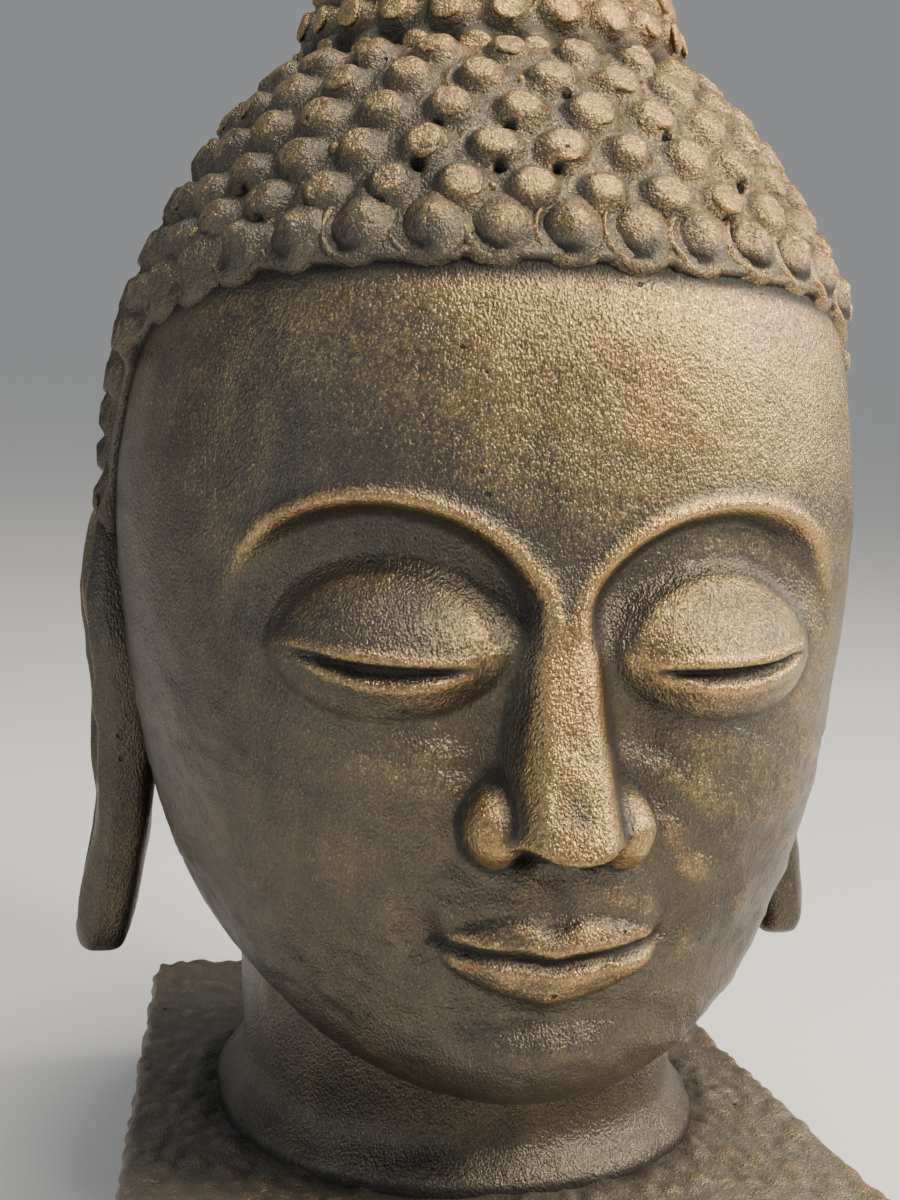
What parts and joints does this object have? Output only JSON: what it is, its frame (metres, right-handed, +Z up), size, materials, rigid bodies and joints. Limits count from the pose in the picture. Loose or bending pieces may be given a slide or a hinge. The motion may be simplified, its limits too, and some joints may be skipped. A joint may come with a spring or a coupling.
{
  "type": "stone buddha head",
  "caption": "Cast stone Buddha head with snail-curl hair, a curled crown knob, long ears and closed calm lips, on a short neck and a low block base",
  "frame": {"origin": "middle of the base block's underside", "axes": "+Z up, the face looks along -Y, +X to the figure's left"},
  "size_m": [0.1612, 0.1829, 0.2764],
  "materials": {
    "bronzed_stone": "dark bronze paint rubbed with gold on the raised parts"
  },
  "bodies": {
    "root": {"buddha_head": "bronzed_stone"}
  },
  "joints": []
}
